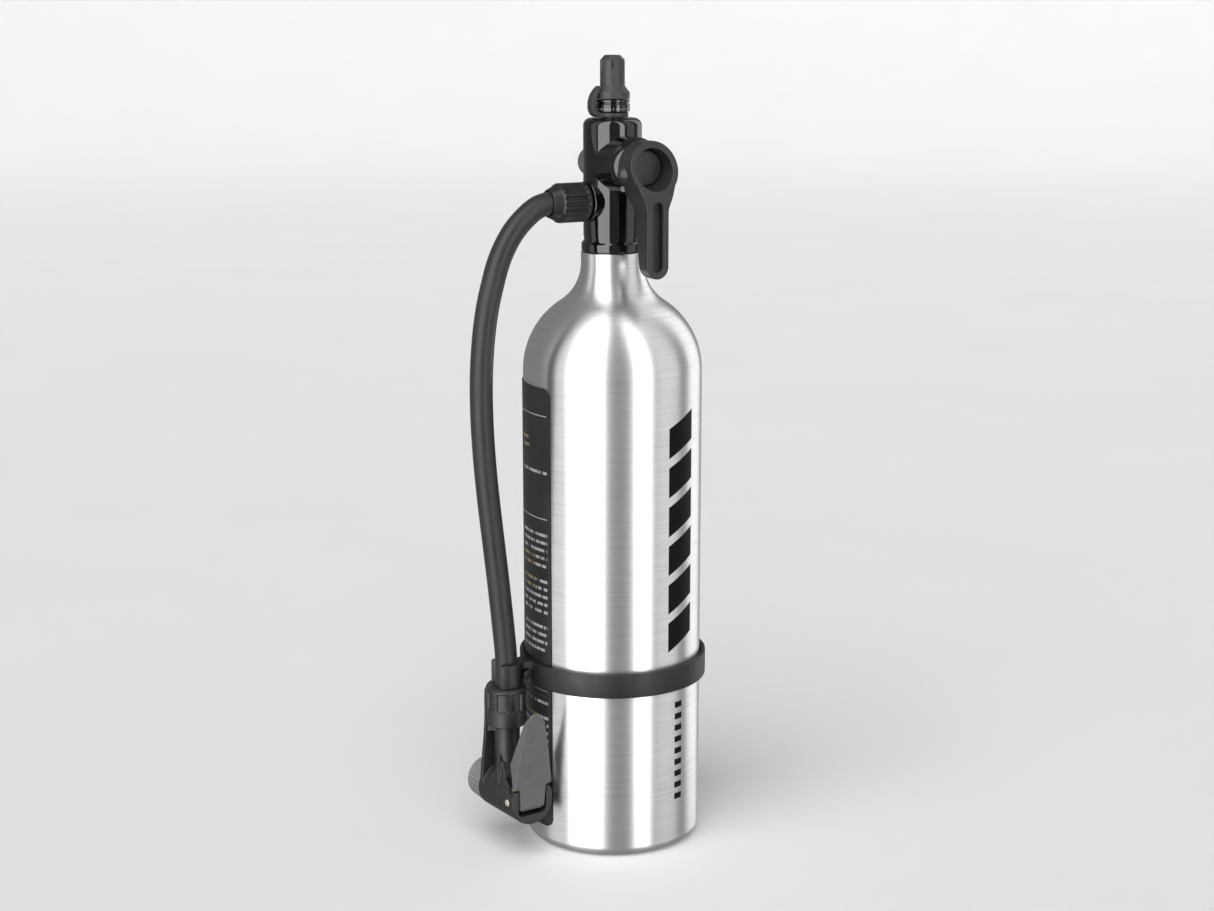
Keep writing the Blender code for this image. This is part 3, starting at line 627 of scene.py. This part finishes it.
def make_label():
    """A thin film round the back of the bottle, with round corners."""
    low, high, corner = 10.0, 207.5, 4.0
    under, face = BOTTLE_R + 0.25, BOTTLE_R + 0.45
    start, end = LABEL_ANGLES
    per_mm = math.degrees(1 / BOTTLE_R)
    near = [corner * (1 - math.cos(math.radians(90 * i / 8))) * per_mm for i in range(8)]
    middle = [corner * per_mm + (end - start - 2 * corner * per_mm) * i / 150 for i in range(151)]
    angles = [start + step for step in near + middle] + [end - step for step in reversed(near)]
    verts, faces = [], []
    for angle in angles:
        inset = min(angle - start, end - angle) / per_mm
        lift = corner - math.sqrt(max(0.0, corner**2 - max(0.0, corner - inset) ** 2))
        bottom, top = low + lift, high - lift
        for radius, height in ((under, bottom), (face, bottom), (face, top), (under, top)):
            verts.append((*polar(radius, angle), height))
    for column in range(len(angles) - 1):
        a = column * 4
        for i in range(4):
            j = (i + 1) % 4
            faces.append((a + i, a + j, a + j + 4, a + i + 4))
    last = (len(angles) - 1) * 4
    faces += [(0, 1, 2, 3), (last, last + 1, last + 2, last + 3)]
    show("label", body_of(verts, faces), "tank", "label_film")


def make_valve_body():
    """The head: a column with the lever boss in front, the hose port at the left and inner passages."""
    profile = soften([
        (0.0, 250.0), (8.0, 250.0), (8.7, 250.7), (8.7, 265.4), (11.7, 265.4), (11.7, 263.3),
        (13.35, 263.3), (13.35, 266.8), (12.6, 267.6), (12.2, 268.6), (12.5, 270.2),
        *arc((9.3, 316.6), 3.2, 0, 90, 8), (0.0, 319.8),
    ], 0.5)
    body = mesh_object("valve_body_detail", turned(profile, segments=160))
    boss = turned(soften([(0, 1), (12.3, 1), (12.3, 19.2), (10.6, 22.3), (0, 22.3)], 0.4),
                  -Y_AXIS, (0, 0, LEVER_Z), 128)
    port = turned(soften([(0, 4), (8.8, 4), (8.8, 13.5), (0, 13.5)], 0.6), -X_AXIS, (0, 0, PORT_Z), 128)
    combine(body, "UNION", boss, port)
    # The spool bore is cut last: cut first, it kept parts of the passages' walls inside it.
    combine(
        body, "DIFFERENCE",
        rod(1.8, (-5.2, 0, PORT_Z + 0.4), (-5.2, 0, LEVER_Z - 0.4), 32),
        rod(2.4, (4, 0, 245), (4, 0, LEVER_Z - 0.4), 32),
        turned([(0, 0), (2.0, 0), (2.0, 10), (4.5, 10), (4.5, 25), (0, 25)], Z_AXIS, (0, 0, 300.5), 48),
        rod(3.2, (-20, 0, PORT_Z), (-2.5, 0, PORT_Z), 48),
        rod(5.1, (0, 30, LEVER_Z), (0, -30, LEVER_Z)),
    )
    show("valve_body", body, "tank", "gloss_black", smooth=32)


def make_spool():
    """The spool that the lever turns, its two seals and the cap on its far end."""
    base = (0, 0, LEVER_Z)
    grooves = ((-18.0, -16.0), (8.0, 10.0))
    profile = [(0.0, -23.1), (4.6, -23.1), (5.0, -22.7)]
    for low, high in grooves:
        profile += [(5.0, low), (3.9, low), (3.9, high), (5.0, high)]
    profile += [(5.0, 12.5), (0.0, 12.5)]
    spool = mesh_object("valve_spool_detail", turned(soften(profile, 0.2), Y_AXIS, base, 72))
    combine(
        spool, "DIFFERENCE",
        rod(1.8, (0, -30, LEVER_Z), (0, -11, LEVER_Z), 40),
        rod(2.0, (0, 7, LEVER_Z), (0, 20, LEVER_Z), 40),
        rod(1.9, (0, 0, LEVER_Z - 8), (0, 0, LEVER_Z + 8), 32),
    )
    show("valve_spool", spool, "valve_lever", "brass")
    for node, (low, high) in zip(("spool_oring_front", "spool_oring_rear"), grooves):
        show(node, seal(4.15, 4.95, (low + high) / 2, Y_AXIS, base), "valve_lever", "seal_rubber")
    end = soften([
        (0.0, 7.8), (1.7, 7.8), (1.7, 12.8), (6.35, 12.8), (6.35, 18.7), (5.5, 19.5), (0.0, 19.5),
    ], 0.4)
    cap = mesh_object("spool_end_cap_detail", turned(end, Y_AXIS, base, 72))
    combine(cap, "DIFFERENCE", block((-4.2, 18.9, LEVER_Z - 0.55), (4.2, 21, LEVER_Z + 0.55)))
    show("spool_end_cap", cap, "valve_lever", "grey_metal")


def make_valve_lever():
    """The lever with a dished ring and a slotted handle, its plug and its screw."""
    half = 5.2
    outline = arc((0, LEVER_Z), 11.45, -38, 218, 60)
    neck = soften([outline[-1], (-half, 283.5), (-half, 262.0)], 6.0, steps=8)[1:-1]
    outline += neck + arc((0, 254.7 + half), half, 180, 360, 32)
    outline += [(-x, z) for x, z in reversed(neck)]
    lever = mesh_object("valve_lever_detail", prism(outline, "XZ", -40, -20))
    side = soften([
        (-23.4, 315.0), (-30.4, 315.0), (-37.0, 289.0), (-37.0, 250.0), (-31.9, 250.0), (-25.6, 284.5),
        (-23.4, 288.5),
    ], 1.5, closed=True)
    combine(lever, "INTERSECT", prism(side, "YZ", -20, 20))
    rounded(lever, 0.55, segments=1)
    slot = arc((0, 284.3), 2.4, 0, 180, 20) + arc((0, 259.9), 2.4, 180, 360, 20)
    combine(
        lever, "DIFFERENCE",
        turned([(0, 25.9), (7.5, 25.9), (9.6, 39.0), (0, 39.0)], -Y_AXIS, (0, 0, LEVER_Z)),
        rod(3.7, (0, -30, LEVER_Z), (0, -24.5, LEVER_Z)),
        rod(1.8, (0, -30, LEVER_Z), (0, -20, LEVER_Z), 32),
        prism(slot, "XZ", -40, -33.4),
    )
    nub = soften([(0, 9.0), (3.5, 9.0), (3.5, 11.3), (1.8, 12.9), (1.2, 13.3), (0, 13.3)], 0.5)
    combine(lever, "UNION", turned(nub, -X_AXIS, (0, -27.1, LEVER_Z - 2.2), 64))
    moulded(lever, 0.2, 2, 0.3)
    show("valve_lever", lever, "valve_lever", "charcoal", smooth=180)
    plug = rod(7.2, (0, -26.2, LEVER_Z), (0, -27.4, LEVER_Z), 96, 0.35)
    show("lever_plug", plug, "valve_lever", "charcoal")
    screw = soften([(0, 12.0), (1.5, 12.0), (1.5, 24.8), (3.3, 24.8), (3.3, 25.9), (0, 25.9)], 0.2)
    show("lever_screw", turned(screw, -Y_AXIS, (0, 0, LEVER_Z), 48), "valve_lever", "steel")


def make_fill_valve():
    """The fill valve: stem, core, spring, pin, and the cap with its strap."""
    stem = soften([
        (1.2, 311.0), (4.2, 311.0), (4.2, 322.5), (7.4, 322.5), (7.4, 325.6), (6.9, 325.8), (6.9, 326.2),
        (7.4, 326.4), (7.4, 327.5), (3.9, 327.5), (3.9, 338.6), (3.5, 339.0), (2.6, 339.0), (2.6, 313.3),
        (1.2, 313.3),
    ], 0.25, closed=True)
    show("fill_stem", turned(stem, segments=128), "tank", "gloss_black")
    core = soften([(1.25, 331.0), (2.3, 331.0), (2.3, 334.5), (2.05, 334.8), (2.05, 335.6), (2.3, 335.9),
                   (2.3, 338.6), (1.25, 338.6)], 0.12, closed=True)
    show("fill_core_body", turned(core, segments=48), "tank", "brass")
    turns, steps = 7, 168
    coil = []
    for i in range(steps + 1):
        angle = math.tau * turns * i / steps
        coil.append(Vector((1.7 * math.cos(angle), 1.7 * math.sin(angle), 313.95 + 6.5 * i / steps)))
    spring = show("fill_core_spring", along(coil, 0.28, 10), "tank", "steel")
    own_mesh(spring)
    pin = soften([(0, 321.1), (2.1, 321.1), (2.1, 322.2), (0.9, 322.2), (0.9, 338.9), (0, 338.9)], 0.25)
    show("fill_core_pin", turned(pin, segments=48), "fill_pin", "brass")

    def groove(radius, height, angle):
        """Six short grooves down from the cap's top."""
        turn = (angle / math.tau * 6) % 1
        deep = max(0.0, 1 - (min(turn, 1 - turn) / 0.075) ** 2)
        ends = min(1.0, max(0.0, (height - 339.2) / 0.7))
        return radius - 0.55 * deep * ends if radius > 4.9 and height > 338.5 else radius

    cap = soften([
        (0, 341.2), (4.3, 341.2), (4.3, 327.8), (7.4, 327.8), (7.4, 330.4), (5.25, 333.2), (5.25, 343.9),
        (3.3, 346.0), (0, 346.0),
    ], 0.3)
    cap = turned(spread(cap, 0.7), segments=192, shape=groove)
    show("fill_cap", cap, "fill_cap", "mid_grey", look="cap_grey")
    show("cap_gasket", rod(3.9, (0, 0, 339.5), (0, 0, 340.9), 64, 0.3), "fill_cap", "seal_rubber")

    ring = soften([(4.6, 320.1), (6.8, 320.1), (6.8, 322.2), (4.6, 322.2)], 0.4, closed=True)
    tether = mesh_object("cap_tether_detail", turned(ring, segments=96))
    outside = [(-6.0, 320.2), (-8.6, 320.2), (-10.4, 321.4), (-11.3, 323.8), (-11.2, 327.0),
               (-10.2, 329.8), (-8.3, 332.2), (-6.3, 333.6)]
    inside = [(-6.6, 331.6), (-8.1, 329.6), (-9.0, 327.2), (-9.3, 325.4), (-9.1, 323.6),
              (-8.3, 322.5), (-6.0, 322.1)]
    strap = soften(outside + inside, 3.0, closed=True)
    combine(tether, "UNION", prism(strap, "XZ", -2.0, 2.0))
    moulded(tether, 0.16, 5, 0.35)
    tether = show("cap_tether", tether, "tank", "mid_grey", smooth=180, ride=False, look="cap_grey")
    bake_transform(tether)


def make_hose_fitting():
    """The barb in the port, its seal and the swivel nut."""
    base = (0, 0, PORT_Z)
    barb = soften([
        (1.7, 6.0), (2.9, 6.0), (2.9, 15.7), (5.6, 15.7), (5.6, 18.0), (3.4, 18.0), (3.4, 20.0),
        (3.9, 20.4), (3.2, 22.6), (3.9, 23.0), (3.2, 25.2), (3.9, 25.6), (3.0, 27.7), (1.7, 27.7),
    ], 0.15, closed=True)
    show("hose_barb", turned(barb, -X_AXIS, base, 64), "tank", "brass")
    show("port_oring", seal(3.3, 4.7, 14.6, -X_AXIS, base), "tank", "seal_rubber")

    def ribs(radius, height, angle):
        """Twenty raised ribs between two plain lips."""
        if radius < 7.7 or not 15.6 < height < 27.4:
            return radius
        turn = (angle / math.tau * 20) % 1
        wall = min(1.0, max(0.0, (abs(turn - 0.5) - 0.2) / 0.1))
        ends = min(1.0, (height - 15.6) / 0.6, (27.4 - height) / 0.6)
        return radius - 0.6 * wall * ends

    nut = soften([
        (6.1, 13.9), (7.6, 13.9), (8.4, 14.6), (8.4, 27.2), (7.6, 27.9), (5.9, 31.6), (5.2, 31.6),
        (5.2, 19.0), (6.1, 18.4),
    ], 0.45, closed=True)
    nut = turned(spread(nut, 0.5), -X_AXIS, base, 240, ribs)
    show("hose_nut", nut, "hose_nut", "charcoal", look="nut_black")


# ---------------------------------------------------------------- band

def make_band():
    """The band round the bottle with an open C-clip, its screw and nut."""
    clip, inner, outer = (-51.6, 0), 5.2, 7.3
    slot = 0.7
    ring_end = math.degrees(math.asin(slot / 39.8))
    clip_start = math.degrees(math.asin(slot / inner))
    claw_end = 180 - 46.0
    claw = arc(clip, inner, -clip_start, -claw_end, 36)
    claw += arc(clip, outer, -claw_end, -40, 30)
    claw += [(-45.4, -4.3), (-41.2, -4.3)]
    outline = arc((0, 0), 39.8, 180 - ring_end, ring_end - 180, 180)
    outline += claw
    outline += arc((0, 0), 41.6, -168, 168, 168)
    outline += [(x, -y) for x, y in reversed(claw)]
    low, high = 74.45, 85.05
    middle = (low + high) / 2
    band = mesh_object("band_clip_detail", prism(outline, "XY", low, high))
    combine(band, "DIFFERENCE", rod(1.5, (-43.75, -9, middle), (-43.75, 9, middle), 40))
    rounded(band, 0.3)
    show("band_clip", band, "tank", "band_black", BAND_PLACE)
    head = soften([
        (0, -6.4), (1.8, -6.4), (2.1, -6.1), (2.1, -4.6), (1.2, -4.6), (1.2, 6.9), (0, 6.9),
    ], 0.2)
    screw = mesh_object("band_screw_detail", turned(head, Y_AXIS, (-43.75, 0, middle), 64))
    for turn in (45, 135):
        bar = block((-1.4, -8, -0.33), (1.4, -5.5, 0.33))
        spin = Matrix.Translation((-43.75, 0, middle)) @ Matrix.Rotation(math.radians(turn), 4, "Y")
        bmesh.ops.transform(bar, matrix=spin, verts=bar.verts)
        combine(screw, "DIFFERENCE", bar)
    show("band_screw", screw, "tank", "steel", BAND_PLACE, look="black_steel")
    nut = mesh_object("band_nut_detail", prism(arc((-43.75, middle), 2.4, 30, 330, 5), "XZ", 4.6, 6.6))
    combine(nut, "DIFFERENCE", rod(1.5, (-43.75, 2, middle), (-43.75, 9, middle), 40))
    rounded(nut, 0.18)
    show("band_nut", nut, "tank", "steel", BAND_PLACE)


# ---------------------------------------------------------------- chuck

def make_chuck_housing():
    """The housing: an upright tube, a lying barrel, a fork for the lever, and a shield behind."""
    base = (0, 0, BARREL_Z)
    housing = mesh_object("chuck_housing_detail", rod(5.7, base, (0, 0, 62.0), 96))
    barrel = [(0, -14), (10.25, -14), (10.25, 8.2), (6.9, 8.2), (6.9, 17.6), (0, 17.6)]
    barrel = turned(barrel, Y_AXIS, base, 96)
    sides = [(9.9, 30.0), (8.8, 32.2)]
    outline = arc((0, BARREL_Z), 10.3, -180, 0, 48) + sides + [(-x, z) for x, z in reversed(sides)]
    cheek, pilaster = [], []
    for side in (-1, 1):
        cheek += [(side * 10.05, -20.1, 27.0), (side * 10.05, -20.1, 24.0)]
        cheek += [(side * 10.05, 2.5, 28.6), (side * 10.05, 2.5, 24.0)]
        cheek += [(side * 5.3, -3.8, 41.0), (side * 5.3, -0.6, 40.2)]
        pilaster += [(side * 5.2, -2.2, 46.0), (side * 5.2, -0.4, 46.0)]
        pilaster += [(side * 6.1, -3.2, 42.0), (side * 6.1, -1.4, 42.0)]
        pilaster += [(side * 8.75, -6.0, 33.5), (side * 8.75, -4.2, 33.5)]
        pilaster += [(side * 8.6, -6.2, 31.5), (side * 8.6, -4.4, 31.5)]
    shield = stack([
        (10.0, 4.8, 7.3, 25.0), (10.0, 4.9, 7.2, 30.0), (9.6, 5.3, 7.4, 34.0), (9.0, 5.7, 7.6, 38.5),
        (8.1, 6.3, 8.2, 43.5), (6.6, 7.5, 9.4, 50.0), (5.3, 9.0, 10.7, 57.0), (5.0, 9.1, 10.9, 70.0),
        (3.6, 9.1, 10.9, 72.6), (2.0, 9.1, 10.9, 73.8),
    ])
    shelf = prism([(-4.8, -0.5), (4.8, -0.5), *arc((0, 0), 8.7, 15, 165, 40)], "XY", 54.0, 56.6)
    spine = prism([(3.0, 32.0), (7.0, 32.0), (7.0, 43.0), (9.8, 55.0), (3.0, 55.0)], "YZ", -1.2, 1.2)
    combine(housing, "UNION", barrel, prism(outline, "XZ", -20.5, -4.0), hull(cheek), hull(pilaster),
            shield, shelf, spine)
    slot = soften([(-7.2, 60), (-7.2, 20.4), (7.2, 20.4), (7.2, 60)], 2.6, steps=10)
    combine(
        housing, "DIFFERENCE",
        prism(slot, "XZ", -30, -9.6),
        prism([(-17.6, 29.3), (-17.6, 50.0), (-6.0, 50.0), (-6.0, 39.3)], "YZ", -15, 15),
        rod(3.1, base, (0, 0, 70), 40),
        turned([(0, -20), (5.0, -20), (5.0, 6.8), (5.6, 6.8), (5.6, 25), (0, 25)], Y_AXIS, base, 64),
        rod(1.6, (-15, PIN_Y, BARREL_Z), (15, PIN_Y, BARREL_Z), 40),
    )
    moulded(housing, 0.22, 3, 0.3)
    show("chuck_housing", housing, "chuck", "charcoal", CHUCK_PLACE, smooth=180)


def make_chuck_lever():
    """The lever with its cam, and the pin through the fork."""
    half = [
        (1.0, 67.4), (4.6, 63.8), (5.75, 58.0), (7.2, 50.4), (8.4, 42.1), (9.5, 34.8), (9.4, 33.7),
        (6.7, 33.1), (6.2, 26.4), (6.2, 23.8), (4.2, 21.8),
    ]
    outline = soften(half + [(-x, z) for x, z in reversed(half)], 0.5, closed=True)
    lever = mesh_object("chuck_lever_detail", prism(outline, "XZ", -30, -10))
    side = arc((-17.8, 24.4), 2.6, 270, 180, 12)
    side += [(-21.0, 33.5), (-23.5, 63.8), (-23.7, 67.6), (-22.4, 67.6), (-21.6, 63.8), (-15.4, 43.6),
             (-19.6, 33.4), (-17.4, 31.6), (-15.2, 29.0), (-16.0, 21.8)]
    combine(lever, "INTERSECT", prism(side, "YZ", -15, 15))
    away = 1.2 * math.sqrt(0.5)
    cam_y, cam_z = PIN_Y - away, BARREL_Z - away
    combine(lever, "UNION", rod(3.8, (-6.2, cam_y, cam_z), (6.2, cam_y, cam_z)))
    combine(lever, "DIFFERENCE", rod(1.65, (-15, PIN_Y, BARREL_Z), (15, PIN_Y, BARREL_Z), 40))
    moulded(lever, 0.18, 2, 0.3)
    show("chuck_lever", lever, "chuck_lever", "mid_grey", CHUCK_PLACE, smooth=180)
    pin = rod(1.5, (-10.25, PIN_Y, BARREL_Z), (10.25, PIN_Y, BARREL_Z), 48, 0.3)
    # The pin wears the lightened brass, which paints a bright highlight on its ends.
    show("chuck_lever_pin", pin, "chuck", "brass", CHUCK_PLACE, look="brass_painted_highlight")


def make_chuck_inside():
    """The plunger, its seal, the grommet, the knurled nose cap and the hose barb."""
    base = (0, 0, BARREL_Z)
    profile = soften([
        (0, -12.25), (4.3, -12.25), (4.9, -11.65), (4.9, -7.4), (3.7, -7.4), (3.7, -5.4), (4.9, -5.4),
        (4.9, 4.4), (0, 4.4),
    ], 0.2)
    plunger = mesh_object("chuck_plunger_detail", turned(profile, Y_AXIS, base))
    combine(plunger, "DIFFERENCE", rod(1.6, (0, -2, BARREL_Z), (0, 10, BARREL_Z), 40),
            rod(1.5, (0, 0.5, BARREL_Z), (0, 0.5, BARREL_Z + 8), 32))
    show("chuck_plunger", plunger, "chuck_plunger", "ivory", CHUCK_PLACE)
    ring = seal(4.0, 4.9, -6.4, Y_AXIS, base)
    show("plunger_oring", ring, "chuck_plunger", "seal_rubber", CHUCK_PLACE)
    grommet = soften([(4.2, 7.1), (5.3, 7.1), (5.3, 17.3), (4.2, 17.3)], 0.35, closed=True)
    show("chuck_grommet", turned(grommet, Y_AXIS, base), "chuck", "seal_rubber", CHUCK_PLACE)

    def knurl(radius, height, angle):
        """Thirty shallow flutes between the cap's two lips."""
        if radius < 8.9 or not 9.4 < height < 18.4:
            return radius
        wave = 0.5 - 0.5 * math.cos(angle * 30)
        ends = min(1.0, (height - 9.4) / 0.7, (18.4 - height) / 0.7)
        return radius - 0.42 * wave * ends

    cap = soften([
        (7.2, 8.5), (10.0, 8.5), (9.3, 18.9), (8.4, 19.8), (4.5, 19.8), (4.5, 17.9), (7.2, 17.9),
    ], 0.5, closed=True)
    cap = turned(spread(cap, 0.6), Y_AXIS, base, 240, knurl)
    show("nose_cap", cap, "nose_cap", "light_grey", CHUCK_PLACE)
    barb = soften([
        (1.5, 50.0), (2.8, 50.0), (2.8, 62.3), (4.9, 62.3), (4.9, 66.0), (1.5, 66.0),
    ], 0.2, closed=True)
    show("chuck_barb", turned(barb, segments=64), "chuck", "brass", CHUCK_PLACE)


def make_chuck_collar():
    """The fluted collar between hose and chuck."""
    def panels(radius, height, angle):
        """Eight sunk panels with round corners between upright ribs."""
        if radius < 8.2 or not 63.9 < height < 72.6:
            return radius
        turn = (angle / math.tau * 8 + 0.5) % 1 - 0.5
        side, tall, corner = 6.9 * 0.39 - abs(turn) * 6.9, 4.1 - abs(height - 68.25), 0.9
        inset = min(side, tall)
        if side < corner and tall < corner:
            inset = corner - math.hypot(corner - side, corner - tall)
        return radius - 0.75 * min(1.0, max(0.0, inset / 0.35))

    profile = soften([
        (6.0, 56.9), (8.5, 56.9), (8.8, 57.2), (8.8, 63.0), (8.68, 63.2), (8.8, 63.4),
        (8.8, 72.9), (8.6, 73.3), (7.5, 74.1), (5.2, 74.1), (5.2, 63.6), (6.0, 63.0),
    ], 0.25, closed=True)
    collar = turned(spread(profile, 0.28), segments=288, shape=panels)
    show("chuck_collar", collar, "chuck_collar", "charcoal", CHUCK_PLACE)


# ---------------------------------------------------------------- floor and light

def make_floor():
    """A flat floor that curves up into a wall on every side, far from the object."""
    verts, faces = [(0, 0, -0.1)], []
    rings = [(400, -0.1), (1200, -0.1), (3500, -0.1)]
    rings += arc((3500, 2199.9), 2200, -84, 0, 14) + [(5700, 2900)]
    for radius, height in rings:
        for i in range(96):
            angle = math.tau * i / 96
            verts.append((radius * math.cos(angle), radius * math.sin(angle), height))
    for i in range(96):
        j = (i + 1) % 96
        faces.append((0, 1 + i, 1 + j))
        for ring in range(len(rings) - 1):
            a, b = 1 + ring * 96 + i, 1 + ring * 96 + j
            faces.append((a, a + 96, b + 96, b))
    floor = mesh_object("floor", body_of(verts, faces))
    floor.data.shade_smooth()
    made = Finish("floor", 0.75, Specular_IOR_Level=0.0)
    cloud = made.noise(6, 3.0)
    tone = made.tint(made.span(cloud, 0.3, 0.7, 0.0, 1.0), (0.80, 0.80, 0.805), (0.815, 0.815, 0.82))
    made.wear(Base_Color=tone, Roughness=made.span(cloud, 0.3, 0.7, 0.72, 0.85))
    floor.data.materials.append(made.made)
    floor.visible_glossy = False
    floor.visible_shadow = False


PANELS = (
    # name, angle round the bottle, distance, (width, height), height of the middle, radiance
    ("softbox_left", 66, 1.1, (0.94, 8.0), 3.4, 3.3),
    ("softbox_right", -8, 1.1, (0.38, 8.0), 3.4, 3.3),
    ("softbox_rim", -100, 1.6, (1.0, 4.0), 1.25, 1.0),
    ("softbox_faint_left", 110, 1.3, (0.62, 4.0), 1.25, 0.65),
    ("softbox_faint_right", -46, 1.3, (0.8, 4.0), 1.25, 0.6),
)


def softbox(name, azimuth, distance, size, middle, radiance):
    """A tall soft panel that faces the bottle and shows only in glossy reflections."""
    light = bpy.data.lights.new(name, "AREA")
    light.shape = "RECTANGLE"
    light.size, light.size_y = size
    light.energy = math.pi * radiance * size[0] * size[1]
    obj = bpy.data.objects.new(name, light)
    x, y = polar(distance, azimuth)
    obj.location = (x, y, middle)
    obj.rotation_euler = Vector((-x, -y, 0)).to_track_quat("-Z", "Y").to_euler()
    obj.visible_camera = False
    obj.visible_diffuse = False
    bpy.context.scene.collection.objects.link(obj)


def make_light():
    for panel in PANELS:
        softbox(*panel)
    sun = bpy.data.lights.new("overhead", "SUN")
    sun.energy = 2.5
    sun.angle = math.radians(60)
    obj = bpy.data.objects.new("overhead", sun)
    obj.rotation_euler = Vector((-0.55, -0.5, 1.0)).to_track_quat("Z", "Y").to_euler()
    obj.visible_glossy = False
    bpy.context.scene.collection.objects.link(obj)
    world = bpy.data.worlds.new("studio")
    world.use_nodes = True
    background = world.node_tree.nodes["Background"]
    background.inputs["Color"].default_value = (1.0, 1.0, 1.0, 1)
    background.inputs["Strength"].default_value = 0.22
    bpy.context.scene.world = world
    bpy.context.scene.view_settings.view_transform = "Standard"


make_camera()
make_hose()
make_floor()
make_light()
make_bottle()
make_label()
make_valve_body()
make_spool()
make_valve_lever()
make_fill_valve()
make_hose_fitting()
make_band()
make_chuck_housing()
make_chuck_lever()
make_chuck_inside()
make_chuck_collar()
